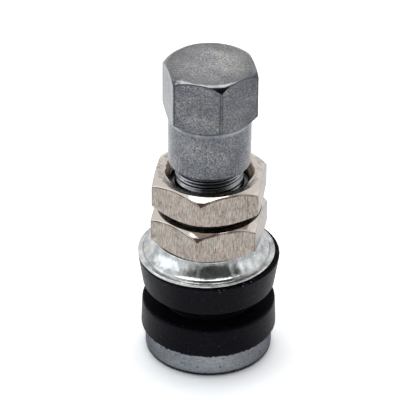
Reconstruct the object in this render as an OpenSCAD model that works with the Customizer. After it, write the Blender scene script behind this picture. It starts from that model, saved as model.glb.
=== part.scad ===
// Clamp-in tyre valve: turned stem with a round foot, two rubber grommets that grip the
// wheel rim between them, a dished washer, a clamp nut and a lock nut, a hex sealing cap
// and a spring-loaded valve core inside the stem.
// Millimetres. +Z runs along the stem towards the cap. The origin is the centre of the
// foot's flat underside.

/* [Foot and stem] */
// Diameter of the round foot that stays inside the wheel
foot_d = 15.15; // [13:0.05:18]
// Height of the foot
foot_h = 3.2; // [1.5:0.05:5]
// Radius of the foot's lower edge
foot_round = 0.35; // [0.1:0.05:0.8]
// Bevel of the foot's upper edge
foot_bevel = 0.15; // [0.05:0.05:0.5]
// Outside diameter of the body thread that both nuts run on
body_d = 10; // [9:0.05:10.8]
// Bevel at the upper end of the body thread
body_bevel = 0.45; // [0.1:0.05:0.7]
// Diameter of the shank between the body thread and the cap thread
shank_d = 8.2; // [7.9:0.05:8.6]
// Height of shank seen between the lock nut and the cap
shank_show = 1.38; // [0.8:0.02:4]
// Outside diameter of the cap thread
tip_d = 7.75; // [7.6:0.05:8]
// Bevel at the mouth of the stem
tip_bevel = 0.4; // [0.1:0.05:0.6]
// Diameter of the air passage through the foot
air_d = 3; // [2:0.1:3.6]

/* [Grommets] */
// Thickness of the lower grommet's flange
lower_h = 3.65; // [2:0.05:6]
// Diameter of the lower grommet at its foot
lower_d_foot = 16.15; // [14:0.05:19]
// Diameter of the lower grommet at its top
lower_d_top = 15.9; // [14:0.05:19]
// Width of the groove that takes the wheel rim
grip_w = 2.2; // [1:0.05:6]
// Diameter of the rubber sleeve that fills the rim hole
sleeve_d = 11.3; // [11.05:0.05:13]
// Thickness of the upper grommet
upper_h = 3.9; // [2:0.02:7]
// Diameter of the upper grommet at its foot
upper_d_foot = 15.65; // [14:0.05:19]
// Diameter of the upper grommet at its top
upper_d_top = 16.9; // [15.4:0.05:19]
// Radius of the lower grommet's upper edge, which meets the rim
rubber_round = 0.45; // [0.1:0.05:0.9]
// Radius of the grommets' other moulded edges
rubber_edge = 0.2; // [0.05:0.05:0.5]

/* [Cup washer] */
// Width of rubber that shows round the washer's lip
lip_inset = 0.3; // [0:0.05:0.6]
// Width of the lip outside the raised ring
lip_w = 0.7; // [0.4:0.05:0.9]
// Thickness of the lip
lip_t = 0.36; // [0.2:0.02:0.8]
// Height of the raised ring above the lip
ridge_h = 0.22; // [0.1:0.02:0.6]
// Height of the whole washer
washer_h = 2.38; // [1.4:0.01:4]
// Distance of the washer's flat hub in from the clamp nut's flats
hub_inset = 0.1; // [0:0.05:0.3]
// Slackness of the flare between hub and ring: 0 follows their inner corner, 0.5 is straight
flare_slack = 0.25; // [0:0.01:0.5]
// Thickness of the washer's metal
washer_t = 0.95; // [0.5:0.05:1.3]

/* [Nuts] */
// Width of the nuts across their flats
nut_af = 12.6; // [11.8:0.05:14]
// Height of each nut
nut_h = 4.05; // [2.5:0.05:7]
// Gap between the clamp nut and the lock nut
nut_gap = 0.85; // [0.3:0.05:3]
// Bevel of each nut's faces, measured in from the flats
nut_bevel = 0.2; // [0.05:0.05:0.5]
// Slope of the nuts' bevels, from level
nut_slope = 30; // [20:1:40]
// Diameter of the countersink at both ends of a nut
nut_sink_d = 10.5; // [10.2:0.05:11]
// Length of body thread inside the lock nut
lock_engage = 2.55; // [1:0.05:3.5]
// Angle at which the clamp nut stands
clamp_turn = 18.3; // [0:0.1:60]
// Angle at which the lock nut stands
lock_turn = 21.7; // [0:0.1:60]

/* [Cap] */
// Width of the cap across its flats
cap_af = 10.05; // [9.8:0.05:12]
// Height of the cap's hexagon
cap_hex_h = 6.78; // [4:0.01:10]
// Bevel of the cap's top face, measured in from the flats
cap_bevel = 0.06; // [0.02:0.02:0.5]
// Slope of the bevel above the hexagon, from level
cap_slope = 35; // [20:1:40]
// Radius of the rounded edge between that bevel and the top face
cap_round = 1; // [0.2:0.05:1.5]
// Slope of the bevel below the hexagon, from level
cap_under_slope = 42; // [30:1:60]
// Diameter of the cap's round skirt
skirt_d = 9.75; // [9.1:0.05:9.8]
// Height of the skirt
skirt_h = 6.1; // [3:0.05:9]
// Radius of the skirt's lower edge
skirt_round = 0.3; // [0.1:0.05:0.4]
// Depth of the threaded hole in the cap
cap_hole_h = 10.92; // [8:0.02:11.5]
// Gap between the shank's shoulder and the skirt
cap_gap = 0.42; // [0.2:0.02:1]
// Thickness of the sealing gasket in the cap
gasket_t = 0.9; // [0.4:0.05:1.5]
// Angle at which the cap stands
cap_turn = 43.2; // [0:0.1:60]

/* [Valve core] */
// Thread diameter of the core's plug
plug_d = 5.2; // [4.8:0.05:5.4]
// Height of the plug's threaded body
plug_h = 3.6; // [2.5:0.1:5]
// Height of the plug's flat tang
tang_h = 1.7; // [1:0.1:2.5]
// Thickness of the tang
tang_t = 1.9; // [1.6:0.1:2.4]
// Depth of the tang's top below the stem's mouth
tang_depth = 0.9; // [0.6:0.05:2]
// Diameter of the stem's bore below the core's seat
core_bore_d = 3.8; // [3.5:0.05:4.2]
// Height of the conical seat in the stem
seat_h = 1.1; // [0.8:0.05:2]
// Outside diameter of the barrel's tube
barrel_d = 2.9; // [2.8:0.05:3.1]
// Length of the barrel below its flange
barrel_l = 7; // [5:0.1:10]
// Thickness of the barrel's flange
flange_t = 0.7; // [0.4:0.05:1]
// Diameter of the spring chamber in the plug and the barrel
chamber_d = 2.3; // [2.1:0.05:2.4]
// Diameter of the valve pin
pin_d = 1.1; // [0.9:0.05:1.2]
// Depth of the pin's end below the stem's mouth
pin_depth = 0.35; // [0.2:0.05:0.8]
// Diameter of the pin's spring collar
collar_d = 1.95; // [1.7:0.05:2.05]
// Thickness of the pin's spring collar
collar_t = 0.6; // [0.3:0.05:1]
// Diameter of the cup that closes the barrel
cup_d = 3.2; // [3:0.05:3.3]
// Thickness of the cup's rubber seal
cup_seal_t = 0.7; // [0.4:0.05:1]
// Thickness of the cup's floor
cup_floor = 0.5; // [0.3:0.05:0.8]
// Wire diameter of the core's spring
wire_d = 0.26; // [0.2:0.02:0.3]
// Turns of the core's spring
spring_turns = 8; // [5:1:12]

/* [Fits] */
// Play between faces that rest on or turn against each other
face_play = 0.02; // [0.01:0.01:0.05]
// Radial play of a thread or a sliding fit
thread_play = 0.05; // [0.02:0.01:0.1]
// Radial play of the washer on the body thread
washer_play = 0.36; // [0.05:0.01:0.5]

/* [Hidden] */
$fn = 96;
// Levels from the foot upwards
lower_z = foot_h + face_play;
sleeve_z = lower_z + lower_h;
upper_z = sleeve_z + grip_w + face_play;
washer_z = upper_z + upper_h + face_play;
hub_z = washer_z + washer_h;
clamp_z = hub_z + face_play;
lock_z = clamp_z + nut_h + nut_gap;
body_z = lock_z + lock_engage;
cap_z = lock_z + nut_h + shank_show;
shank_z = cap_z - cap_gap;
cap_end_z = cap_z + cap_hole_h;
tip_z = cap_end_z - gasket_t - face_play;
cap_hex_z = cap_z + skirt_h;
cap_top_z = cap_hex_z + cap_hex_h;
// Levels of the core, from the stem's mouth downwards
tang_z = tip_z - tang_depth;
plug_z = tang_z - tang_h - plug_h;
flange_z = plug_z - face_play - flange_t;
seat_z = flange_z - seat_h - face_play;
barrel_z = flange_z - barrel_l;
cup_seal_z = barrel_z - face_play - cup_seal_t;
cup_z = cup_seal_z - face_play - cup_floor;
pin_end_z = cup_z - 0.4 * pin_d;
collar_z = tang_z - 0.8 * tang_h - collar_t;
spring_z = barrel_z + flange_t;
bore_end_z = cup_z - 2 * cup_d;
// Radii that several pieces share
body_r = body_d / 2;
tip_r = tip_d / 2;
shank_r = shank_d / 2;
nut_bore_r = body_r + thread_play;
washer_hole_r = body_r + washer_play;
// The loose washer lies to one side by most of its play
washer_slip = 0.8 * washer_play;
plug_bore_r = plug_d / 2 + thread_play;
seat_r = core_bore_d / 2;
pin_hole_r = pin_d / 2 + thread_play;
// Long enough to cut through any piece
past = 1;

// Points on an arc about c, from angle a0 to a1
function arc(c, r, a0, a1, n = 8) =
    [for (i = [0:n]) let (a = a0 + (a1 - a0) * i / n) [c[0] + r * cos(a), c[1] + r * sin(a)]];

// Point at share t of the curve from p0 to p2 that is pulled towards p1
function curve_point(p0, p1, p2, t) = (1 - t) * (1 - t) * p0 + 2 * t * (1 - t) * p1 + t * t * p2;

// Radius of a hexagon's corners from its width across flats
function corner_r(af) = af / 2 / cos(30);

// Half section of a hexagon's two bevels: from radius low_r at z up and out at low_slope, and from
// well outside up and in at top_slope, towards top_r at top_z
function bevels(af, z, low_r, low_slope, top_z, top_r, top_slope) =
    let (big = corner_r(af) + past)
    [[low_r, z], [big, z + (big - low_r) * tan(low_slope)],
     [big, top_z - (big - top_r) * tan(top_slope)]];

// Hexagon bar from z to top_z, turned to a half section
module turned_hex(af, turn, z, top_z, section) {
    intersection() {
        translate([0, 0, z]) rotate(turn) cylinder(h = top_z - z, r = corner_r(af), $fn = 6);
        rotate_extrude() polygon(concat([[0, z]], section, [[0, top_z]]));
    }
}

// Ring with rounded outer edges and a tapered side
module rubber_ring(hole_r, foot_r, top_r, z, h, top_round) {
    rotate_extrude()
        polygon(concat([[hole_r, z]],
                       arc([foot_r - rubber_edge, z + rubber_edge], rubber_edge, -90, 0),
                       arc([top_r - top_round, z + h - top_round], top_round, 0, 90),
                       [[hole_r, z + h]]));
}

// Tube between two levels
module tube(outer_r, inner_r, z, h) {
    translate([0, 0, z])
        difference() {
            cylinder(h = h, r = outer_r);
            translate([0, 0, -past]) cylinder(h = h + 2 * past, r = inner_r);
        }
}

// Stem turned from one bar, with the air passage and the core's seat bored through it
module valve_stem() {
    foot_r = foot_d / 2;
    color([0.56, 0.58, 0.6])
        difference() {
            rotate_extrude()
                polygon(concat([[0, 0]],
                               arc([foot_r - foot_round, foot_round], foot_round, -90, 0),
                               [[foot_r, foot_h - foot_bevel], [foot_r - foot_bevel, foot_h],
                                [body_r, foot_h], [body_r, body_z - body_bevel],
                                [body_r - body_bevel, body_z], [shank_r, body_z],
                                [shank_r, shank_z], [tip_r, shank_z],
                                [tip_r, tip_z - tip_bevel], [tip_r - tip_bevel, tip_z], [0, tip_z]]));
            stem_bore();
        }
}

// Passage through the stem: flared foot end, air hole, core bore, seat and plug thread
module stem_bore() {
    air_r = air_d / 2;
    flare = 0.2 * air_d;
    rotate_extrude()
        polygon([[0, -past], [air_r + flare, -past], [air_r + flare, 0], [air_r, flare],
                 [air_r, bore_end_z - (seat_r - air_r)], [seat_r, bore_end_z], [seat_r, seat_z],
                 [plug_bore_r, seat_z + seat_h], [plug_bore_r, tip_z - tip_bevel],
                 [plug_bore_r + tip_bevel, tip_z], [plug_bore_r + tip_bevel, tip_z + past],
                 [0, tip_z + past]]);
}

// Lower grommet with the sleeve that passes through the rim hole
module lower_grommet() {
    hole_r = body_r + face_play;
    color([0.13, 0.13, 0.14]) {
        rubber_ring(hole_r, lower_d_foot / 2, lower_d_top / 2, lower_z, lower_h, rubber_round);
        tube(sleeve_d / 2, hole_r, sleeve_z - rubber_round, grip_w + rubber_round);
    }
}

// Upper grommet, clamped between the rim and the washer
module upper_grommet() {
    color([0.13, 0.13, 0.14])
        rubber_ring(body_r + thread_play, upper_d_foot / 2, upper_d_top / 2, upper_z, upper_h, rubber_edge);
}

// Pressed washer: lip, raised ring, hollow flare up to the hub that the nut bears on
module cup_washer() {
    lip_z = washer_z + lip_t;
    ridge_z = lip_z + ridge_h;
    lip_r = upper_d_top / 2 - lip_inset;
    ridge_r = lip_r - lip_w;
    hub_r = nut_af / 2 - hub_inset;
    // The flare leaves the hub steeply and runs out to the ridge, as a curve pulled to their inner corner
    hub_edge = [hub_r, hub_z];
    ridge_edge = [ridge_r, ridge_z];
    inner_corner = [hub_r, ridge_z] + flare_slack * [ridge_r - hub_r, hub_z - ridge_z];
    flare = [for (i = [0:10]) curve_point(hub_edge, inner_corner, ridge_edge, i / 10)];
    hollow_z = hub_z - washer_t;
    hollow_r = ridge_r - washer_t;
    color([0.78, 0.8, 0.82])
        translate([-washer_slip, 0, 0])
            rotate_extrude()
                polygon(concat([[washer_hole_r, hub_z]], flare,
                               [[ridge_r + ridge_h / 2, lip_z], [lip_r, lip_z], [lip_r, washer_z],
                                [hollow_r, washer_z], [hub_r - washer_t / 3, hollow_z],
                                [washer_hole_r, hollow_z]]));
}

// Hex nut with a bevel on both faces and a countersunk bore
module hex_nut(turn) {
    flat_r = nut_af / 2 - nut_bevel;
    side = concat(bevels(nut_af, 0, flat_r, nut_slope, nut_h, flat_r, nut_slope), [[flat_r, nut_h]]);
    sink_r = nut_sink_d / 2;
    sink_h = sink_r - nut_bore_r;
    difference() {
        turned_hex(nut_af, turn, 0, nut_h, side);
        translate([0, 0, -past]) cylinder(h = nut_h + 2 * past, r = nut_bore_r);
        translate([0, 0, nut_h - sink_h])
            cylinder(h = sink_h + past, r1 = nut_bore_r, r2 = sink_r + past);
        translate([0, 0, -past])
            cylinder(h = sink_h + past, r1 = sink_r + past, r2 = nut_bore_r);
    }
}

module clamp_nut() {
    color([0.72, 0.68, 0.63]) translate([0, 0, clamp_z]) hex_nut(clamp_turn);
}

module lock_nut() {
    color([0.72, 0.68, 0.63]) translate([0, 0, lock_z]) hex_nut(lock_turn);
}

// Cap turned from hexagon bar: round skirt below, threaded blind hole inside
module cap_shell() {
    skirt_r = skirt_d / 2;
    hole_r = tip_r + thread_play;
    mouth_r = shank_r + thread_play;
    skirt_edge = arc([skirt_r - skirt_round, cap_z + skirt_round], skirt_round, -90, 0);
    top_r = cap_af / 2 - cap_bevel;
    hex_side = bevels(cap_af, cap_hex_z, skirt_r, cap_under_slope, cap_top_z, top_r, cap_slope);
    // The rounded edge touches the bevel and the top face, which would meet at top_r
    top_edge = arc([top_r - cap_round * tan(cap_slope / 2), cap_top_z - cap_round], cap_round,
                   90 - cap_slope, 90);
    color([0.5, 0.51, 0.53])
        difference() {
            turned_hex(cap_af, cap_turn, cap_z, cap_top_z, concat(skirt_edge, hex_side, top_edge));
            translate([0, 0, cap_z - past]) cylinder(h = cap_hole_h + past, r = hole_r);
            translate([0, 0, cap_z - past]) cylinder(h = past + cap_gap, r = mouth_r);
            translate([0, 0, cap_z + cap_gap])
                cylinder(h = mouth_r - hole_r, r1 = mouth_r, r2 = hole_r);
        }
}

// Rubber disc at the end of the cap's hole, pressed on the stem's mouth
module cap_gasket() {
    color([0.1, 0.1, 0.1])
        translate([0, 0, cap_end_z - gasket_t]) cylinder(h = gasket_t - face_play, r = tip_r);
}

// Threaded plug with a flat tang for the core key, bored for the spring and the pin
module core_plug() {
    plug_r = plug_d / 2;
    body_top = plug_z + plug_h;
    tang_top = body_top + tang_h;
    color([0.75, 0.62, 0.3])
        difference() {
            union() {
                translate([0, 0, plug_z]) cylinder(h = plug_h, r = plug_r);
                intersection() {
                    translate([0, 0, plug_z]) cylinder(h = plug_h + tang_h, r = plug_r - tip_bevel);
                    translate([-plug_r, -tang_t / 2, plug_z]) cube([plug_d, tang_t, plug_h + tang_h]);
                }
            }
            translate([0, 0, plug_z - past])
                cylinder(h = past + plug_h + tang_h / 2, r = chamber_d / 2);
            translate([0, 0, body_top]) cylinder(h = tang_h + past, r = pin_hole_r);
        }
}

// Barrel under the plug: flange, tube with the spring chamber, pierced end that the cup closes
module core_barrel() {
    color([0.75, 0.62, 0.3])
        difference() {
            union() {
                translate([0, 0, flange_z]) cylinder(h = flange_t, r = plug_d / 2 - tip_bevel);
                translate([0, 0, barrel_z]) cylinder(h = barrel_l, r = barrel_d / 2);
            }
            translate([0, 0, spring_z]) cylinder(h = barrel_l + past, r = chamber_d / 2);
            translate([0, 0, barrel_z - past]) cylinder(h = flange_t + 2 * past, r = pin_hole_r);
        }
}

// Tapered seal ring between the barrel's flange and the stem's seat
module core_barrel_seal() {
    hole_r = barrel_d / 2 + face_play;
    color([0.7, 0.15, 0.12])
        rotate_extrude()
            polygon([[hole_r, seat_z + face_play], [seat_r - face_play, seat_z + face_play],
                     [plug_bore_r - 2 * face_play, seat_z + seat_h], [hole_r, seat_z + seat_h]]);
}

// Coil spring between the barrel's pierced end and the pin's collar
module core_spring() {
    steps = 16;
    sides = 6;
    wire_r = wire_d / 2;
    coil_r = (chamber_d + pin_d) / 4;
    low = spring_z + wire_r + face_play;
    high = collar_z - wire_r - face_play;
    last = spring_turns * steps;
    points = [for (i = [0:last], k = [0:sides - 1])
                  let (a = 360 * i / steps, b = 360 * k / sides, r = coil_r + wire_r * cos(b))
                  [r * cos(a), r * sin(a), low + (high - low) * i / last + wire_r * sin(b)]];
    sleeve = [for (i = [0:last - 1], k = [0:sides - 1])
                  let (k2 = (k + 1) % sides)
                  [i * sides + k, i * sides + k2, (i + 1) * sides + k2, (i + 1) * sides + k]];
    ends = [[for (k = [sides - 1:-1:0]) k], [for (k = [0:sides - 1]) last * sides + k]];
    color([0.8, 0.8, 0.8]) polyhedron(points, concat(sleeve, ends));
}

// Pin through the whole core, with the collar that the spring lifts
module core_pin() {
    color([0.8, 0.7, 0.4]) {
        translate([0, 0, pin_end_z]) cylinder(h = tip_z - pin_depth - pin_end_z, r = pin_d / 2);
        translate([0, 0, collar_z]) cylinder(h = collar_t, r = collar_d / 2);
    }
}

// Cup on the pin's lower end that carries the seal
module core_cup() {
    color([0.75, 0.62, 0.3])
        difference() {
            translate([0, 0, cup_z])
                cylinder(h = cup_floor + face_play + 0.8 * cup_seal_t, r = cup_d / 2);
            translate([0, 0, cup_z + cup_floor]) cylinder(h = cup_seal_t + past, r = cup_d / 2 - 0.25);
            translate([0, 0, cup_z - past]) cylinder(h = cup_floor + 2 * past, r = pin_d / 2 + face_play);
        }
}

// Rubber seal in the cup, pressed on the barrel's pierced end
module core_cup_seal() {
    color([0.12, 0.12, 0.12])
        tube(cup_d / 2 - 0.25 - face_play, pin_d / 2 + face_play, cup_seal_z, cup_seal_t);
}

valve_stem();
lower_grommet();
upper_grommet();
cup_washer();
clamp_nut();
lock_nut();
cap_shell();
cap_gasket();
core_plug();
core_barrel();
core_barrel_seal();
core_spring();
core_pin();
core_cup();
core_cup_seal();
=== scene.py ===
"""Looks of a clamp-in tyre valve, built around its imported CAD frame.

Shapes are written in millimetres and made in metres. +Z runs along the stem, and the camera is on -Y.
"""
import math

import bpy
import numpy as np
from mathutils import Matrix, Vector


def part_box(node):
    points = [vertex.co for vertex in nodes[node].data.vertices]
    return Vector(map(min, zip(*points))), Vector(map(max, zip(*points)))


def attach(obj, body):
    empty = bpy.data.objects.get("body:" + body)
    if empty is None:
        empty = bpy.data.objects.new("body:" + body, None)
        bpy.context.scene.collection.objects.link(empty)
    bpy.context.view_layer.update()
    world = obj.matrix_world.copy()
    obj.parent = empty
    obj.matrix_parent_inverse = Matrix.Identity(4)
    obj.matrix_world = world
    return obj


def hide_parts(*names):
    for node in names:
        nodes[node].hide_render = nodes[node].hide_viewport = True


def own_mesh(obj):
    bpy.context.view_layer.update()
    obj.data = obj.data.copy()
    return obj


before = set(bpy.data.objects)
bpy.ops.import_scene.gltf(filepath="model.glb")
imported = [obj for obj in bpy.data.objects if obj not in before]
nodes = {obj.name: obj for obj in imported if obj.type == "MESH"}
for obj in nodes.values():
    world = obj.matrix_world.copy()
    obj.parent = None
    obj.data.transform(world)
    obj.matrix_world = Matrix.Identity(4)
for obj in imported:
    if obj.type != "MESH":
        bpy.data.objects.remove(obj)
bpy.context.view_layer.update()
MM = 0.001
TAU = 2 * math.pi
WHITE = (1.0, 1.0, 1.0)


def levels(node):
    """Lowest and highest level of a CAD node, in mm."""
    low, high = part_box(node)
    return low.z / MM, high.z / MM


# Sizes that several functions share, in mm, with turns in degrees
BODY_R, BODY_PITCH = 5.0, 1.0
BODY_END = levels("lock_nut")[0] + 2.55
CAP_PITCH = 0.794
CAP_FLATS, CAP_TURN, CAP_EDGE = 10.05, 43.2, 0.12
KNOCK_TURN, KNOCK_PLACE = 229.0, (-3.56, -4.09)
NUT_FLATS, NUT_EDGE = 12.6, 0.16
WASHER_AXIS = (-0.288, 0.0)


# Shape helpers

def slant(degrees):
    """Fall per mm of a slope from level."""
    return math.tan(math.radians(degrees))


def round_columns(n):
    """Angles of n even columns."""
    return np.arange(n) * TAU / n


def hex_columns(flats, turn, edge):
    """Angles of the columns round a hexagon, and the radius of its outline there.

    The corners stand at turn plus each sixth of a turn, and are rounded to the radius edge.
    """
    flat_steps, edge_steps = 26, 4
    half, half_face = flats / 2, math.pi / 6
    reach = (half - edge) * math.tan(half_face)
    flat = reach * np.sin(np.linspace(-1, 1, flat_steps + 1) * math.pi / 2)
    bend = half_face * (np.arange(1, 2 * edge_steps) / edge_steps - 1) + half_face
    corner = (half - edge) / math.cos(half_face)
    x = np.concatenate([np.full(len(flat), half), corner * math.cos(half_face) + edge * np.cos(bend)])
    y = np.concatenate([flat, corner * math.sin(half_face) + edge * np.sin(bend)])
    one_face, outline = np.arctan2(y, x), np.hypot(x, y)
    first = math.radians(turn) + half_face
    angles = np.concatenate([one_face + first + k * TAU / 6 for k in range(6)])
    return angles, np.tile(outline, 6)


def rounded(points, radii, columns, steps=4):
    """Rows of an open section with rounded corners.

    points are (r, z), each a number or one value a column. radii are those of the points between the ends.
    A corner takes at least the width least, because thinner rows have poor normals.
    """
    least, most_of_side, flank, half_side = 0.01, 0.4, 1.5, 0.48
    p = np.array([[np.broadcast_to(np.asarray(v, float), columns) for v in q] for q in points])
    p = p.transpose(0, 2, 1)
    rows = [p[0]]
    t = np.linspace(0, 1, steps + 1)[:, None, None]
    for k, radius in zip(range(1, len(p) - 1), radii):
        a, b, c = p[k - 1], p[k], p[k + 1]
        la = np.linalg.norm(a - b, axis=1, keepdims=True)
        lc = np.linalg.norm(c - b, axis=1, keepdims=True)
        u, v = (a - b) / np.maximum(la, 1e-9), (c - b) / np.maximum(lc, 1e-9)
        half = np.arccos(np.clip((u * v).sum(1, keepdims=True), -1, 1)) / 2
        wanted = np.maximum(radius / np.maximum(np.tan(half), 1e-6), least)
        d = np.minimum(wanted, most_of_side * np.minimum(la, lc))
        rows.append(b + u * np.minimum(flank * d, half_side * la))
        rows.extend((1 - t) ** 2 * (b + u * d) + 2 * t * (1 - t) * b + t ** 2 * (b + v * d))
        rows.append(b + v * np.minimum(flank * d, half_side * lc))
    rows.append(p[-1])
    return np.array(rows)


def thread(r, z0, z1, pitch, depth, angles, fade, phase=0.0, rows_a_turn=14):
    """Rows of a right-handed thread from z0 to z1. A positive depth cuts inwards, a negative one outwards.

    fade gives the turns over which it grows at its lower and its upper end.
    """
    crest, softness = 0.12, 0.4
    n = max(2, int(abs(z1 - z0) / pitch * rows_a_turn))
    z = np.linspace(z0, z1, n + 1)[:, None]
    turn = z / pitch - angles[None, :] / TAU + phase
    wave = np.abs(2 * (turn % 1.0) - 1)
    cut = np.clip((wave - crest) / (1 - 2 * crest), 0, 1)
    cut = (1 - softness) * cut + softness * cut * cut * (3 - 2 * cut)
    low, high = min(z0, z1), max(z0, z1)
    grow = np.clip((z - low) / (fade[0] * pitch), 0, 1) * np.clip((high - z) / (fade[1] * pitch), 0, 1)
    return np.stack([r - depth * cut * grow, np.broadcast_to(z, cut.shape)], axis=-1)


def solid(name, co, faces, material):
    """Closed smooth mesh from points in mm, with its faces turned outwards."""
    tri = np.array([[f[0], f[k], f[k + 1]] for f in faces for k in range(1, len(f) - 1)])
    a, b, c = co[tri[:, 0]], co[tri[:, 1]], co[tri[:, 2]]
    if np.einsum("ij,ij->i", a, np.cross(b, c)).sum() < 0:
        faces = [f[::-1] for f in faces]
    mesh = bpy.data.meshes.new(name)
    mesh.from_pydata((co * MM).tolist(), [], faces)
    mesh.polygons.foreach_set("use_smooth", [True] * len(mesh.polygons))
    mesh.update()
    piece = bpy.data.objects.new(name, mesh)
    bpy.context.scene.collection.objects.link(piece)
    mesh.materials.append(material)
    return piece


def skin(name, rows, angles, material, poles=None, axis=(0.0, 0.0), warp=None):
    """Closed mesh through rows of (r, z) over the columns, round an upright axis at (x, y).

    With poles, (z, z), its two ends close in points. Without them the last row joins the first.
    """
    m, n = rows.shape[:2]
    r, z = rows[..., 0], rows[..., 1]
    co = np.stack([r * np.cos(angles), r * np.sin(angles), z], axis=-1).reshape(-1, 3)
    if warp is not None:
        co = warp(co)
    i, j = np.meshgrid(np.arange(m if poles is None else m - 1), np.arange(n), indexing="ij")
    i2, j2 = (i + 1) % m, (j + 1) % n
    faces = np.stack([i * n + j, i2 * n + j, i2 * n + j2, i * n + j2], axis=-1).reshape(-1, 4).tolist()
    if poles is not None:
        co = np.vstack([co, [[0.0, 0.0, level] for level in poles]])
        here, after, last_row = np.arange(n), (np.arange(n) + 1) % n, (m - 1) * n
        faces += np.stack([np.full(n, m * n), here, after], axis=1).tolist()
        faces += np.stack([np.full(n, m * n + 1), last_row + after, last_row + here], axis=1).tolist()
    return solid(name, co + np.array([*axis, 0.0]), faces, material)


def dress(piece, node, body):
    """The piece stands for a CAD node, whose own mesh is hidden, and moves with its body."""
    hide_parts(node)
    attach(piece, body)


# Material helpers

class Nodes:
    """A node tree with short calls. A value that is a socket is linked to an input, any other is set there."""

    def __init__(self, tree):
        self.tree = tree

    def set(self, node, key, value):
        """Links or sets one input of a node, by name or number."""
        if isinstance(value, bpy.types.NodeSocket):
            self.tree.links.new(value, node.inputs[key])
        else:
            node.inputs[key].default_value = value

    def add(self, kind, props=None, **inputs):
        """New node. Spaces in the names of its inputs are written as underscores."""
        node = self.tree.nodes.new(kind)
        for key, value in (props or {}).items():
            setattr(node, key, value)
        for key, value in inputs.items():
            self.set(node, key.replace("_", " "), value)
        return node

    def operate(self, kind, how, values):
        """New node that works out something from its first inputs."""
        node = self.add(kind, {"operation": how})
        for at, value in enumerate(values):
            self.set(node, at, value)
        return node.outputs

    def math(self, how, *values):
        """Number worked out from numbers."""
        return self.operate("ShaderNodeMath", how, values)["Value"]

    def vector(self, how, *values):
        """Vector worked out from vectors."""
        return self.operate("ShaderNodeVectorMath", how, values)["Vector"]

    def times(self, *values):
        """Product of two numbers."""
        return self.math("MULTIPLY", *values)

    def ramp(self, value, stops):
        """Colours or grey levels along a value from 0 to 1."""
        node = self.add("ShaderNodeValToRGB", Fac=value)
        items = node.color_ramp.elements
        while len(items) < len(stops):
            items.new(0.5)
        for item, (at, colour) in zip(items, stops):
            item.position = at
            item.color = (*(colour if isinstance(colour, tuple) else (colour,) * 3), 1.0)
        return node.outputs["Color"]

    def level(self, value, low, high, to_low=0.0, to_high=1.0):
        """Straight course between two values, level outside them."""
        return self.add("ShaderNodeMapRange", Value=value, From_Min=low, From_Max=high,
                        To_Min=to_low, To_Max=to_high).outputs["Result"]

    def along(self, value, low, high, stops):
        """Colours or grey levels at stops between the lowest and the highest value."""
        return self.ramp(self.level(value, low, high), [((at - low) / (high - low), c) for at, c in stops])

    def mix(self, share, a, b, how="MIX"):
        """Colour a with a share of colour b."""
        node = self.add("ShaderNodeMix", {"data_type": "RGBA", "blend_type": how})
        for at, value in ((0, share), (6, a), (7, b)):
            self.set(node, at, (*value, 1.0) if isinstance(value, tuple) else value)
        return node.outputs[2]

    def tint(self, colour, by, share=1.0):
        """Colour multiplied by another, by a share."""
        return self.mix(share, colour, by, "MULTIPLY")


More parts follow.
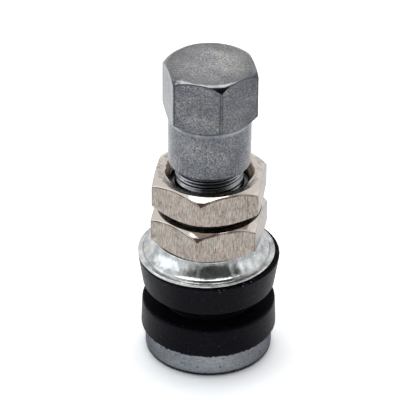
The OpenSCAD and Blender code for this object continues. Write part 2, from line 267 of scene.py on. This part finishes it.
class Shader(Nodes):
    """A material of its own, with patterns placed on the object in mm."""

    def __init__(self, name):
        self.material = bpy.data.materials.new(name)
        self.material.use_nodes = True
        super().__init__(self.material.node_tree)
        self.bsdf = self.tree.nodes["Principled BSDF"]
        where = self.add("ShaderNodeTexCoord").outputs
        self.place, self.facing = where["Object"], where["Normal"]

    def parts(self, vector):
        """The X, Y and Z of a vector."""
        return self.add("ShaderNodeSeparateXYZ", Vector=vector).outputs

    def stretched(self, scale):
        """Place scaled along each axis, for marks that run one way."""
        return self.add("ShaderNodeMapping", Vector=self.place, Scale=scale).outputs["Vector"]

    def round_about(self):
        """Level direction from the stem's axis, for patterns that run out from it."""
        return self.vector("NORMALIZE", self.vector("MULTIPLY", self.place, (1.0, 1.0, 0.0)))

    def noise(self, scale, detail=3.0, rough=0.55, vector=None):
        """Cloudy pattern, mostly between 0.3 and 0.7."""
        return self.add("ShaderNodeTexNoise", Vector=vector or self.place, Scale=scale, Detail=detail,
                        Roughness=rough).outputs[0]

    def spread(self, noise, low, high):
        """Noise brought to the range from low to high."""
        return self.level(noise, 0.3, 0.7, low, high)

    def spots(self, scale):
        """Distance to the nearest of many scattered points."""
        return self.add("ShaderNodeTexVoronoi", Vector=self.place, Scale=scale).outputs["Distance"]

    def height(self):
        """Level above the foot's underside, in mm."""
        return self.times(self.parts(self.place)["Z"], 1 / MM)

    def radius(self, axis=(0.0, 0.0)):
        """Distance from the stem's axis, or from another upright axis at (x, y) mm, in mm."""
        shift = (-axis[0] * MM, -axis[1] * MM, 0.0)
        at = self.parts(self.add("ShaderNodeMapping", Vector=self.place, Location=shift).outputs["Vector"])
        squares = [self.times(at[k], at[k]) for k in "XY"]
        return self.times(self.math("POWER", self.math("ADD", *squares), 0.5), 1 / MM)

    def upward(self):
        """How far the surface faces up, from -1 to 1."""
        return self.parts(self.facing)["Z"]

    def from_corner(self, turn, wander):
        """Angle to the nearest corner of a hexagon that stands at turn, in degrees, with a little wander."""
        at = self.parts(self.place)
        angle = self.math("SUBTRACT", self.math("ARCTAN2", at["Y"], at["X"]), math.radians(turn))
        angle = self.times(self.math("PINGPONG", angle, math.pi / 6), 180 / math.pi)
        return self.math("ADD", angle, self.spread(self.noise(1800, 2), -wander, wander))

    def above_cone(self, top, r, slope):
        """Height above a turned cone that falls by slope outside radius r at the level top, in mm."""
        cone = self.times(self.math("SUBTRACT", self.radius(), r), slope)
        return self.math("SUBTRACT", self.math("ADD", self.height(), cone), top)

    def bump(self, height, strength, distance, under=None):
        """Relief up to distance mm high, on top of another one."""
        node = self.add("ShaderNodeBump", Height=height, Strength=strength, Distance=distance * MM)
        if under is not None:
            self.set(node, "Normal", under)
        return node.outputs["Normal"]

    def finish(self, colour, rough, normal, **inputs):
        """Sets the surface and returns the material."""
        inputs.update(Base_Color=colour, Roughness=rough, Normal=normal)
        for key, value in inputs.items():
            self.set(self.bsdf, key.replace("_", " "), value)
        return self.material


# Materials

def cap_plating(top, bevel_r, slope, hex_z, skirt_r, under_slope):
    """Mottled satin grey plating with a fine grain under clear lacquer.

    Its turned bevels are polished and one corner is knocked. The top face has painted light, its edges and
    corners have painted shade, and the knocked corner and the skirt's top have painted highlights.
    """
    s = Shader("satin_cap")
    up, r, z = s.upward(), s.radius(), s.height()
    turned = s.ramp(up, [(0.2, 0.0), (0.4, 1.0), (0.93, 1.0), (0.985, 0.0)])

    # Clouds, with painted light on the top face and painted shade in a ring towards its edge
    cloud = s.ramp(s.noise(520, 4, 0.6), [(0.3, (0.115, 0.122, 0.146)), (0.5, (0.166, 0.17, 0.185)),
                                          (0.7, (0.214, 0.215, 0.214))])
    patch = s.ramp(s.noise(230, 3, 0.55), [(0.34, (0.6, 0.6, 0.66)), (0.5, WHITE), (0.66, (1.28, 1.27, 1.2))])
    cloud = s.tint(cloud, patch, 0.8)
    ring = s.along(r, 0.0, 5.0, [(2.5, 1.0), (3.9, 0.74), (4.65, 0.58)])
    cloud = s.tint(cloud, s.tint(ring, (1.32, 1.3, 1.24)), s.level(up, 0.9, 0.97))

    # Grain, pits and painted shade in lines beside the upright corners, off the polished bevels
    grain = s.noise(5200, 2, 0.6)
    colour = s.mix(1.0, cloud, s.ramp(grain, [(0.3, 0.1), (0.5, 0.47), (0.7, 0.85)]), "OVERLAY")
    colour = s.tint(colour, s.ramp(s.spots(2300), [(0.0, 0.0), (0.12, 1.0)]), 0.3)
    # Painted shade: dark lines beside each upright corner
    line = s.along(s.from_corner(CAP_TURN, 0.4), 0.0, 4.0,
                   [(0.0, 0.7), (0.48, 0.75), (1.2, 0.2), (1.8, 0.3), (2.8, 1.0)])
    colour = s.tint(colour, line, s.level(r, 5.3, 5.4, 0.0, 0.9))
    colour = s.mix(turned, colour, s.tint(cloud, (0.82, 0.82, 0.84)))

    # Painted shade along the hexagon's edges at its two cones, and the lighter skirt
    on_hexagon = s.level(r, 4.9, 4.94)
    # Painted shade just under the edge of the top cone
    rim = s.along(s.above_cone(top, bevel_r, slope), -0.4, 0.1,
                  [(-0.22, 1.0), (-0.15, 0.3), (-0.01, 0.25), (0.0, 1.0)])
    colour = s.tint(colour, rim, s.times(on_hexagon, s.level(up, 0.2, 0.45, 1.0, 0.0)))
    # Painted shadow along the hexagon's lower edge, over the undercut
    low_rim_shade = s.along(s.above_cone(hex_z, skirt_r, -under_slope), -0.1, 0.4,
                      [(-0.05, 0.55), (0.05, 0.35), (0.12, 1.0)])
    colour = s.tint(colour, low_rim_shade, on_hexagon)
    colour = s.tint(colour, (1.12, 1.12, 1.14), s.level(z, hex_z - 0.1, hex_z, 1.0, 0.0))

    # Painted shade on the corners of the top bevel, a painted highlight on the knocked corner, and a patchy
    # painted highlight along the top of the skirt
    corner = s.times(turned, s.level(r, 5.32, 5.46, 0.0, 0.92))
    colour = s.mix(corner, colour, (0.05, 0.054, 0.062))
    # Painted highlight on the knocked corner
    far = s.math("ADD", s.radius(KNOCK_PLACE), s.spread(s.noise(2600, 3), -0.2, 0.2))
    knocked = s.times(s.level(far, 0.4, 0.52, 0.95, 0.0), s.level(up, 0.3, 0.5))
    colour = s.mix(knocked, colour, (0.25, 0.255, 0.275))
    # Painted highlight along the top of the skirt, in patches
    band = s.along(z, hex_z - 0.48, hex_z + 0.12,
                   [(hex_z - 0.45, 0.0), (hex_z - 0.18, 1.0), (hex_z, 1.0), (hex_z + 0.03, 0.0)])
    skirt_highlight = s.times(s.level(s.noise(380, 3), 0.4, 0.6, 0.1, 0.75), s.level(r, 4.95, 4.97, 1.0, 0.0))
    colour = s.mix(s.times(band, skirt_highlight), colour, (0.46, 0.485, 0.54))

    rough = s.mix(turned, s.spread(s.noise(1500, 3), 0.34, 0.46), (0.09, 0.09, 0.09))
    normal = s.bump(grain, s.level(turned, 0.0, 1.0, 0.3, 0.0), 0.02)
    normal = s.bump(s.noise(1100, 2), s.level(turned, 0.0, 1.0, 0.12, 0.03), 0.05, normal)
    return s.finish(colour, rough, normal, Metallic=1.0,
                    Coat_Weight=s.level(corner, 0.0, 0.9, 1.0, 0.15), Coat_Roughness=0.25)


def nickel(name, top, bevel_r, slope, turn):
    """Warm nickel with short upright milling marks, stains and dark scratches, and with polished bevels. It has
    painted shade under the upper bevel and in the bore.
    """
    s = Shader(name)
    up, r = s.upward(), s.radius()
    turned = s.ramp(up, [(0.25, 0.0), (0.45, 1.0), (0.93, 1.0), (0.985, 0.0)])

    # Milling marks, pits, scratches and stains
    fine = s.noise(1.0, 3, 0.7, s.stretched((8500, 8500, 1400)))
    broad = s.noise(1100, 3, 0.6)
    colour = s.ramp(broad, [(0.3, (0.42, 0.345, 0.31)), (0.5, (0.45, 0.39, 0.34)), (0.7, (0.46, 0.435, 0.38))])
    colour = s.mix(0.8, colour, s.ramp(fine, [(0.28, 0.12), (0.5, 0.5), (0.72, 0.86)]), "OVERLAY")
    pit = s.ramp(s.spots(1700), [(0.0, (0.2, 0.15, 0.12)), (0.06, (0.3, 0.23, 0.2)), (0.11, WHITE)])
    colour = s.tint(colour, pit, 0.7)
    scratch = s.noise(1.0, 2, 0.5, s.stretched((4600, 4600, 1500)))
    colour = s.tint(colour, s.ramp(scratch, [(0.24, (0.34, 0.25, 0.21)), (0.31, WHITE)]))
    stain = s.ramp(s.noise(700, 4, 0.7), [(0.3, (0.5, 0.42, 0.36)), (0.44, WHITE)])
    colour = s.tint(colour, stain, 0.75)

    # Painted shade under the upper bevel, dirt along the upright corners, and the mottled end faces
    rim = s.along(s.above_cone(top, bevel_r, slope), -0.4, 0.1,
                  [(-0.25, WHITE), (-0.17, (0.34, 0.23, 0.18)), (-0.01, (0.3, 0.2, 0.16)), (0.0, WHITE)])
    on_side = s.times(s.level(up, 0.15, 0.4, 1.0, 0.0), s.level(s.noise(800, 3), 0.35, 0.6, 0.35, 1.0))
    colour = s.tint(colour, rim, on_side)
    dirt = s.along(s.from_corner(turn, 0.5), 0.0, 4.0,
                   [(0.0, (0.62, 0.53, 0.47)), (0.8, (0.5, 0.41, 0.35)), (1.68, WHITE)])
    on_corner = s.times(s.level(r, 6.9, 7.0), s.level(s.noise(650, 3), 0.42, 0.6, 0.0, 0.6))
    colour = s.tint(colour, dirt, on_corner)
    mottle = s.ramp(s.noise(1300, 5, 0.7), [(0.34, (0.72, 0.66, 0.62)), (0.5, (1.42, 1.52, 1.64))])
    colour = s.tint(colour, mottle, s.level(up, 0.9, 0.97, 0.0, 0.8))

    # Polished bevels outside the bore's uneven edge, and painted shade in the bore
    edge = s.math("ADD", r, s.spread(s.noise(900, 4, 0.6), -0.14, 0.14))
    outside = s.level(edge, 5.14, 5.3)
    turned = s.times(turned, outside)
    colour = s.mix(turned, colour, (0.6, 0.55, 0.5))
    colour = s.mix(outside, s.tint(colour, (0.48, 0.42, 0.36)), colour)

    rough = s.mix(turned, s.spread(broad, 0.24, 0.36), (0.13, 0.13, 0.13))
    normal = s.bump(fine, s.level(turned, 0.0, 1.0, 0.3, 0.0), 0.02)
    return s.finish(colour, rough, normal, Metallic=1.0)


def bright_zinc():
    """Bright zinc with clouds, dark specks, soft pressing waves and a painted shade line at the washer's step.
    """
    s = Shader("bright_zinc")
    r = s.radius(WASHER_AXIS)
    colour = s.ramp(s.noise(700, 4, 0.6), [(0.34, (0.38, 0.4, 0.4)), (0.5, (0.56, 0.575, 0.575)),
                                           (0.66, (0.72, 0.735, 0.73))])
    colour = s.tint(colour, s.ramp(s.spots(900), [(0.0, 0.15), (0.06, 0.2), (0.09, 1.0)]), 0.8)
    stain = s.ramp(s.noise(1500, 4, 0.7), [(0.3, (0.45, 0.46, 0.45)), (0.45, WHITE)])
    colour = s.tint(colour, stain, 0.7)
    # Painted shade in the groove at the washer's step
    step = s.along(r, 7.0, 8.0, [(7.44, 1.0), (7.5, 0.42), (7.6, 0.42), (7.66, 1.0)])
    colour = s.tint(colour, step, s.level(s.upward(), 0.0, 0.2, 0.0, 0.5))
    rough = s.spread(s.noise(900, 3), 0.12, 0.22)
    wave = s.bump(s.noise(6.0, 1, 0.5, s.round_about()), s.level(r, 7.2, 7.5, 1.0, 0.0), 0.13)
    dent = s.bump(s.noise(520, 2), 0.6, 0.16, wave)
    return s.finish(colour, rough, s.bump(s.noise(1300, 3), 0.3, 0.06, dent), Metallic=1.0)


def matte_zinc():
    """Matte blue-grey zinc of the foot, with dark specks and painted shade on surfaces that face down. The
    threads above it carry painted shade.
    """
    s = Shader("zinc_steel")
    z = s.height()
    cloud = s.ramp(s.noise(500, 4, 0.6), [(0.3, (0.29, 0.308, 0.335)), (0.7, (0.37, 0.388, 0.41))])
    grain = s.noise(4700, 2, 0.65)
    colour = s.mix(0.45, cloud, s.ramp(grain, [(0.3, 0.2), (0.5, 0.5), (0.7, 0.8)]), "OVERLAY")
    colour = s.tint(colour, s.ramp(s.spots(1000), [(0.0, 0.1), (0.09, 0.2), (0.16, 1.0)]), 0.75)
    stain = s.ramp(s.noise(1500, 4, 0.7), [(0.32, (0.55, 0.55, 0.53)), (0.43, WHITE)])
    colour = s.tint(colour, stain, 0.7)
    # Painted shade on surfaces that face down, such as the foot's lower edge
    underside_shade = s.along(s.upward(), -0.5, 0.0, [(-0.35, 0.05), (-0.1, 0.2), (-0.015, 1.0)])
    colour = s.tint(colour, underside_shade)
    # Painted shade on the threads, near black on the body thread and lighter from the shank up
    dark = s.along(z, 0.0, 40.0, [(8.0, 0.0), (8.8, 0.92), (BODY_END - 0.14, 0.92), (BODY_END + 0.46, 0.28)])
    colour = s.mix(dark, colour, (0.05, 0.046, 0.042))
    on_shank = s.level(z, BODY_END - 0.26, BODY_END + 0.14)
    rough = s.mix(on_shank, s.spread(s.noise(1200, 3), 0.3, 0.42), (0.15, 0.15, 0.15))
    return s.finish(colour, rough, s.bump(grain, 0.15, 0.02), Metallic=1.0,
                    Specular_Tint=(0.5, 0.52, 0.56, 1.0))


def moulded_rubber(name, base, rim=None):
    """Satin rubber with a fine grain and a little dust. Light specks of it lie near a rim at that level."""
    s = Shader(name)
    up = s.upward()
    grain = s.noise(4200, 3, 0.65)
    cloud = s.ramp(grain, [(0.36, tuple(0.2 * c for c in base)), (0.64, tuple(2.6 * c for c in base))])
    dust = s.ramp(s.spots(1500), [(0.0, (0.4, 0.4, 0.42)), (0.06, (0.12, 0.12, 0.13)), (0.09, (0.0, 0.0, 0.0))])
    colour = s.mix(0.5, cloud, dust, "ADD")
    if rim is not None:
        speck = s.ramp(s.spots(2100), [(0.0, 1.0), (0.15, 0.8), (0.22, 0.0)])
        near_rim = s.level(s.height(), rim - 0.75, rim - 0.45)
        here = s.times(near_rim, s.level(s.noise(650, 2), 0.5, 0.58, 0.0, 0.7))
        colour = s.mix(s.times(speck, here), colour, (0.24, 0.24, 0.26))
    rough = s.spread(s.noise(2600, 4, 0.7), 0.26, 0.54)
    return s.finish(colour, rough, s.bump(grain, 0.7, 0.04),
                    Specular_IOR_Level=s.level(up, 0.3, 0.8, 0.085, 0.02), Specular_Tint=(0.9, 0.86, 1.0, 1.0),
                    Sheen_Weight=s.level(up, 0.3, 0.8, 0.22, 0.0), Sheen_Roughness=0.3)


def plain_metal(name, low, high, rough):
    """Turned or drawn metal of the core."""
    s = Shader(name)
    line = s.noise(1.0, 3, 0.5, s.stretched((900, 900, 7000)))
    colour = s.ramp(line, [(0.3, low), (0.7, high)])
    return s.finish(colour, s.spread(line, rough - 0.06, rough + 0.06), s.bump(line, 0.15, 0.02), Metallic=1.0)


BRIGHT, ZINC = bright_zinc(), matte_zinc()
RUBBER = moulded_rubber("rubber", (0.0028, 0.0027, 0.0042), levels("upper_grommet")[1])
BRASS = plain_metal("core_brass", (0.62, 0.44, 0.17), (0.78, 0.60, 0.28), 0.3)
STEEL = plain_metal("spring_steel", (0.5, 0.5, 0.5), (0.66, 0.66, 0.66), 0.25)
GASKET = moulded_rubber("gasket", (0.015, 0.015, 0.015))
RED = moulded_rubber("seal_red", (0.28, 0.03, 0.025))


# Pieces

def make_stem():
    """Foot, body thread, shank, cap thread and bore, turned from one bar."""
    foot_r, foot_h, foot_bevel, body_z = 7.575, 3.2, 0.15, 9.5
    shank_r, tip_r, tip_bevel = 4.1, 3.875, 0.4
    plug_r, bore_r, air_r, mouth_r = 2.65, 1.9, 1.5, 2.1
    tip, shank_end = levels("valve_stem")[1], levels("cap_shell")[0] - 0.42
    thread_end, core_end, seat, bore_end = BODY_END - 0.45, tip - 4.2, tip - 6.94, tip - 21.56
    a = round_columns(128)
    n = len(a)
    foot = rounded([(mouth_r, 0), (foot_r, 0), (foot_r, foot_h - foot_bevel), (foot_r - foot_bevel, foot_h),
                    (BODY_R, foot_h), (BODY_R, body_z)], [0.55, 0.07, 0.07, 0.1], n, 6)
    body = thread(BODY_R, body_z + 0.1, thread_end, BODY_PITCH, 0.5, a, (2.0, 0.6))
    shoulder = rounded([(BODY_R, thread_end + 0.01), (BODY_R - 0.45, BODY_END), (shank_r, BODY_END),
                        (shank_r, BODY_END + 0.08)], [0.06, 0.05], n)
    shank = thread(shank_r, BODY_END + 0.12, shank_end - 0.08, CAP_PITCH, 0.34, a, (0.5, 0.4), 0.55)
    step = rounded([(shank_r, shank_end - 0.06), (shank_r, shank_end), (tip_r, shank_end),
                    (tip_r, shank_end + 0.1)], [0.05, 0.03], n)
    cap_thread = thread(tip_r, shank_end + 0.14, tip - tip_bevel - 0.04, CAP_PITCH, 0.4, a, (1.0, 0.8))
    mouth = rounded([(tip_r, tip - tip_bevel - 0.01), (tip_r - tip_bevel, tip), (plug_r + tip_bevel, tip),
                     (plug_r, tip - tip_bevel), (plug_r, tip - tip_bevel - 0.1)], [0.06, 0.06, 0.06], n)
    core_thread = thread(plug_r, tip - 0.54, core_end, 0.705, -0.22, a, (1.0, 0.6), 0.0, 10)
    bore = rounded([(plug_r, core_end - 0.1), (plug_r, seat), (bore_r, seat - 1.1), (bore_r, bore_end),
                    (air_r, bore_end - 0.4), (air_r, 0.6), (mouth_r - 0.02, 0.02)], [0.05] * 5, n, 2)
    rows = np.concatenate([foot, body, shoulder, shank, step, cap_thread, mouth, core_thread, bore])
    dress(skin("stem", rows, a, ZINC), "valve_stem", "stem")


def ripple(angles, seed, waves):
    """Sum of sines round a ring, from -1 to 1, the same at each run."""
    rng = np.random.default_rng(seed)
    out = np.zeros_like(angles)
    for w in waves:
        out += np.sin(w * angles + rng.uniform(0, TAU)) * rng.uniform(0.5, 1.0)
    return out / len(waves)


def make_grommets():
    """Both rubber rings. The lower one has the rim hole's sleeve and ragged moulding flash at its foot."""
    a = round_columns(384)
    n = len(a)
    low, high = levels("lower_grommet")
    hole_r, sleeve_r, flange_top = 5.02, 5.65, high - 2.2
    edge, teeth = ripple(a, 3, (23, 37, 61, 83, 109)), ripple(a, 4, (19, 47, 71, 97))
    flash = 0.08 + 0.12 * edge + 0.34 * np.maximum(teeth, 0)
    rows = rounded([(hole_r, low), (7.78, low), (7.97, low - flash), (8.075, low + 0.12), (7.95, flange_top),
                    (sleeve_r, flange_top), (sleeve_r, high), (hole_r, high)],
                   [0.05, 0.04, 0.12, 0.45, 0.2, 0.1], n, 5)
    dress(skin("lower_grommet_rubber", rows, a, RUBBER), "lower_grommet", "stem")
    low, high = levels("upper_grommet")
    hole_r, foot_r, top_r = 5.05, 7.825 + 0.015 * ripple(a, 5, (5, 13, 29)), 8.44
    rows = rounded([(hole_r, low), (foot_r, low), (top_r, high), (hole_r, high)], [0.22, 0.2], n, 6)
    dress(skin("upper_grommet_rubber", rows, a, RUBBER), "upper_grommet", "clamp_stack")


def make_washer():
    """Dished washer with a flared side, a raised ring and a flat lip."""
    low, high = levels("cup_washer")
    a = round_columns(160)
    hole_r, hub_r, ring_r, step_r, lip_r, under_r = 5.36, 6.2, 7.45, 7.56, 8.15, 6.5
    thick, slack = 0.95, 0.25
    lip, ridge = low + 0.36, low + 0.58
    p0, p2 = np.array([hub_r, high]), np.array([ring_r, ridge])
    p1 = np.array([hub_r, ridge]) + slack * np.array([ring_r - hub_r, high - ridge])
    flare = [tuple((1 - t) ** 2 * p0 + 2 * t * (1 - t) * p1 + t * t * p2) for t in np.linspace(0, 1, 13)]
    points = [(hole_r, high), *flare, (step_r, lip), (lip_r, lip), (lip_r, low), (under_r, low),
              (5.88, high - thick), (hole_r, high - thick)]
    radii = [0.06] + [0.3] * 11 + [0.1, 0.05, 0.12, 0.1, 0.1, 0.1]
    piece = skin("washer_dish", rounded(points, radii, len(a), 3), a, BRIGHT, axis=WASHER_AXIS)
    dress(piece, "cup_washer", "clamp_stack")


def make_nut(name, node, body, turn, open_thread, flat_top):
    """Hex nut with bevelled faces and slightly steeper corner tips. The thread shows where it is open."""
    low, high = levels(node)
    a, outline = hex_columns(NUT_FLATS, turn, NUT_EDGE)
    n = len(a)
    flat_low, tip_r, bore_r, top_bore_r, thread_r = 6.1, 6.85, 5.05, 5.27, 4.62
    rise = (outline - flat_low) * slant(30)
    slope = rise.max() / (outline.max() - flat_top)
    fall = (outline - flat_top) * slope + np.maximum(outline - tip_r, 0) * slant(18)
    at_tip = np.minimum(tip_r, np.maximum(outline - 0.15, flat_top + 0.3 * (outline - flat_top)))
    tip_z = high - (at_tip - flat_top) * slope
    outer = rounded([(top_bore_r, high), (flat_top, high), (at_tip, tip_z), (outline, high - fall),
                     (outline, low + rise), (flat_low, low), (bore_r + 0.2, low), (bore_r, low + 0.2),
                     (bore_r, low + 0.5)], [0.04, 0.02, 0.2, 0.1, 0.12, 0.04, 0.03], n)
    if open_thread:
        start = low + 2.62
        entry = rounded([(bore_r, low + 0.6), (bore_r, start - 0.02), (thread_r, start + 0.12),
                         (thread_r, start + 0.2)], [0.02, 0.05], n)
        wall = thread(thread_r, start + 0.22, high - 0.01, BODY_PITCH, -0.43, a, (0.3, 0.01), 0.2, 16)
        countersink = top_bore_r - (high - wall[..., 1])
        wall[..., 0] = np.maximum(wall[..., 0], countersink)
        bore = np.concatenate([entry, wall])
    else:
        bore = rounded([(bore_r, low + 0.6), (bore_r, high - 0.2), (top_bore_r - 0.05, high - 0.03)], [0.03], n)
    material = nickel(name + "_nickel", high, flat_top, slope, turn)
    dress(skin(name, np.concatenate([outer, bore]), a, material), node, body)


def make_cap():
    """Hex cap with a domed crown, an undercut and a round skirt, threaded inside. One corner is knocked."""
    low, high = levels("cap_shell")
    hex_z, hole_end = low + 6.1, low + 10.92
    a, outline = hex_columns(CAP_FLATS, CAP_TURN, CAP_EDGE)
    n = len(a)
    top_r, tip_r, skirt_r, mouth_r, thread_r, middle_r = 4.965, 5.36, 4.875, 4.15, 3.925, 0.8
    cone, crown = math.radians(35), 1.0
    slope, under_slope = math.tan(cone), slant(42)
    crown_r = top_r - crown * math.tan(cone / 2)

    def fall(r):
        """How far the turned end is below the crown at a radius: an arc, then a cone with a steeper tip."""
        arc = crown - np.sqrt(np.maximum(crown ** 2 - np.maximum(r - crown_r, 0) ** 2, 0.01))
        tip = np.maximum(r - tip_r, 0) * (slant(52) - slope)
        return np.where(r < crown_r + crown * math.sin(cone), arc, (r - top_r) * slope + tip)

    def knock(co):
        """Raises one corner of the top bevel by up to 0.2 mm, to a flatter slope."""
        r, turn = np.hypot(co[:, 0], co[:, 1]), np.degrees(np.arctan2(co[:, 1], co[:, 0])) % 360
        on_cone = (co[:, 2] > high - fall(r) - 0.018) & (r > top_r)
        near = np.clip((8.5 - np.abs(turn - KNOCK_TURN)) / 3, 0, 1) * on_cone
        burr = high - 0.07 - (r - top_r) * slant(16)
        rise = np.clip(burr - co[:, 2], 0, 0.2) * near
        return co + rise[:, None] * np.array([0.0, 0.0, 1.0])

    r = crown_r + (outline - crown_r) * np.linspace(0, 0.96, 15)[:, None]
    top = np.stack([r, high - fall(r)], axis=-1)
    rise = (outline - skirt_r) * under_slope
    side = rounded([top[-1].T, (outline, high - fall(outline)), (outline, hex_z + rise), (skirt_r, hex_z),
                    (skirt_r, low), (mouth_r, low), (mouth_r, low + 0.42), (thread_r, low + 0.65),
                    (thread_r, low + 0.75)], [0.2, 0.12, 0.08, 0.3, 0.06, 0.04, 0.04], n, 6)
    middle = rounded([(middle_r, high), (crown_r - 0.2, high)], [], n)
    inner = thread(thread_r, low + 0.8, hole_end - 1.1, CAP_PITCH, -0.34, a, (0.8, 1.0), 0.3, 10)
    end = rounded([(thread_r, hole_end - 1.0), (thread_r, hole_end), (middle_r, hole_end)], [0.1], n)
    rows = np.concatenate([middle, top[:-1], side, inner, end])
    plating = cap_plating(high, top_r, slope, hex_z, skirt_r, under_slope)
    piece = skin("cap_hex", rows, a, plating, poles=(high, hole_end), warp=knock)
    dress(piece, "cap_shell", "cap")


def make_spring():
    """Coil of round wire, with a mesh of its own, that moves with the stem."""
    low, high = levels("core_spring")
    coil_r, wire_r, turns, steps, sides = 0.85, 0.13, 8, 36, 12
    last = turns * steps
    i, k = np.meshgrid(np.arange(last + 1), np.arange(sides), indexing="ij")
    a, b = i * TAU / steps, k * TAU / sides
    r = coil_r + wire_r * np.cos(b)
    z = low + wire_r + (high - low - 2 * wire_r) * i / last + wire_r * np.sin(b)
    co = np.stack([r * np.cos(a), r * np.sin(a), z], axis=-1).reshape(-1, 3)
    i, k, k2 = i[:-1], k[:-1], (k[:-1] + 1) % sides
    faces = np.stack([i * sides + k, i * sides + k2, (i + 1) * sides + k2, (i + 1) * sides + k], axis=-1)
    ends = [list(range(sides))[::-1], [last * sides + n for n in range(sides)]]
    piece = solid("spring_coil", co, faces.reshape(-1, 4).tolist() + ends, STEEL)
    dress(piece, "core_spring", "stem")
    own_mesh(piece)


make_stem()
make_grommets()
make_washer()
make_nut("nut_lower", "clamp_nut", "clamp_nut", turn=18.3, open_thread=False, flat_top=6.22)
make_nut("nut_upper", "lock_nut", "lock_nut", turn=21.7, open_thread=True, flat_top=6.17)
make_cap()
make_spring()

# CAD nodes that stay as they are take their finish here
for node, material in (("cap_gasket", GASKET), ("core_plug", BRASS), ("core_barrel", BRASS),
                       ("core_barrel_seal", RED), ("core_pin", BRASS), ("core_cup", BRASS),
                       ("core_cup_seal", GASKET)):
    nodes[node].data.materials.clear()
    nodes[node].data.materials.append(material)


# Floor, light and camera, in metres

def make_floor():
    """Ground that is white to the camera and keeps the shadow. In reflections it has painted shadow stripes
    beside the foot and painted shade towards the sides, most to the right.
    """
    size, level, half_width = 3.0, -0.00003, 0.05
    mesh = bpy.data.meshes.new("floor")
    mesh.from_pydata([(-size, -size, level), (size, -size, level), (size, size, level), (-size, size, level)],
                     [], [(0, 1, 2, 3)])
    floor = bpy.data.objects.new("floor", mesh)
    bpy.context.scene.collection.objects.link(floor)
    material = bpy.data.materials.new("floor")
    material.use_nodes = True
    s = Nodes(material.node_tree)
    s.tree.nodes.clear()
    path = s.add("ShaderNodeLightPath").outputs
    place = s.add("ShaderNodeTexCoord").outputs["Object"]
    x = s.add("ShaderNodeSeparateXYZ", Vector=place).outputs["X"]
    # Painted shadow and shade in reflections of the floor: dark stripes beside the foot, dimmer towards the
    # sides
    shadow_stripes = s.along(x, -half_width, half_width, [
        (-0.045, 0.4), (-0.018, 0.5), (-0.0125, 0.52), (-0.011, 0.1), (-0.007, 0.1), (-0.005, 0.52),
        (0.005, 0.52), (0.007, 0.1), (0.011, 0.1), (0.0125, 0.52), (0.018, 0.52), (0.045, 0.26)])
    seen = s.math("MAXIMUM", path["Is Camera Ray"], path["Is Transmission Ray"])
    share = s.math("MAXIMUM", seen, s.times(path["Is Glossy Ray"], shadow_stripes))
    tone = s.mix(share, (0.74, 0.745, 0.75), (1.58, 1.585, 1.59))
    diffuse = s.add("ShaderNodeBsdfDiffuse", Color=tone).outputs[0]
    s.add("ShaderNodeOutputMaterial", Surface=diffuse)
    mesh.materials.append(material)


def make_world():
    """White where the camera looks. In reflections and in its light, the side towards the camera is dimmer."""
    world = bpy.data.worlds.new("studio")
    bpy.context.scene.world = world
    world.use_nodes = True
    s = Nodes(world.node_tree)
    s.tree.nodes.clear()
    path = s.add("ShaderNodeLightPath").outputs
    where = s.add("ShaderNodeTexCoord").outputs["Generated"]
    way = s.vector("NORMALIZE", s.vector("MULTIPLY", where, (1.35, 1.0, 1.0)))
    front = s.operate("ShaderNodeVectorMath", "DOT_PRODUCT", (way, (0.2, -0.7, 0.685)))["Value"]
    shine = s.add("ShaderNodeBackground", Color=s.ramp(front, [(0.45, 0.98), (0.64, 0.5), (0.78, 0.08)]))
    dim = s.ramp(front, [(0.3, (0.97, 0.98, 1.0)), (0.8, (0.82, 0.83, 0.85))])
    soft = s.add("ShaderNodeBackground", Color=dim, Strength=0.525)
    white = s.add("ShaderNodeBackground", Color=(*WHITE, 1.0))
    glossy = s.math("MAXIMUM", path["Is Glossy Ray"], path["Is Transmission Ray"])
    surface = soft.outputs[0]
    for share, other in ((glossy, shine), (path["Is Camera Ray"], white)):
        both = s.add("ShaderNodeMixShader")
        for at, value in enumerate((share, surface, other.outputs[0])):
            s.set(both, at, value)
        surface = both.outputs[0]
    s.add("ShaderNodeOutputWorld", Surface=surface)


def make_lamp(name, place, size, power, colour=WHITE):
    """Soft box that faces the middle of the object."""
    middle = Vector((0, 0, 0.02))
    data = bpy.data.lights.new(name, "AREA")
    data.shape, data.size, data.size_y = "RECTANGLE", *size
    data.energy, data.color = power, colour
    lamp = bpy.data.objects.new(name, data)
    bpy.context.scene.collection.objects.link(lamp)
    lamp.rotation_euler = (Vector(place) - middle).normalized().to_track_quat("Z", "Y").to_euler()
    lamp.location = place


def make_camera():
    """The photograph's camera: long lens, 32.5 degrees down along +Y, tilted by 0.44 degrees."""
    data = bpy.data.cameras.new("camera")
    data.sensor_width, data.lens = 36.0, 277.5
    camera = bpy.data.objects.new("camera", data)
    bpy.context.scene.collection.objects.link(camera)
    matrix = Matrix.Translation((-0.000035, -0.318896, 0.222161))
    for degrees, axis in ((0.02, "Z"), (57.5, "X"), (0.44, "Z")):
        matrix = matrix @ Matrix.Rotation(math.radians(degrees), 4, axis)
    camera.matrix_world = matrix
    bpy.context.scene.camera = camera


make_floor()
make_world()
make_lamp("top_box", (0.0, 0.102, 0.5), (0.36, 0.334), 1.04)
make_lamp("left_box", (-0.4, -0.02, 0.17), (0.45, 0.34), 0.38, (0.82, 0.92, 1.0))
make_lamp("right_box", (0.42, 0.05, 0.2), (0.35, 0.34), 0.07, (0.8, 0.92, 1.0))
make_camera()
bpy.context.scene.view_settings.view_transform = "Standard"
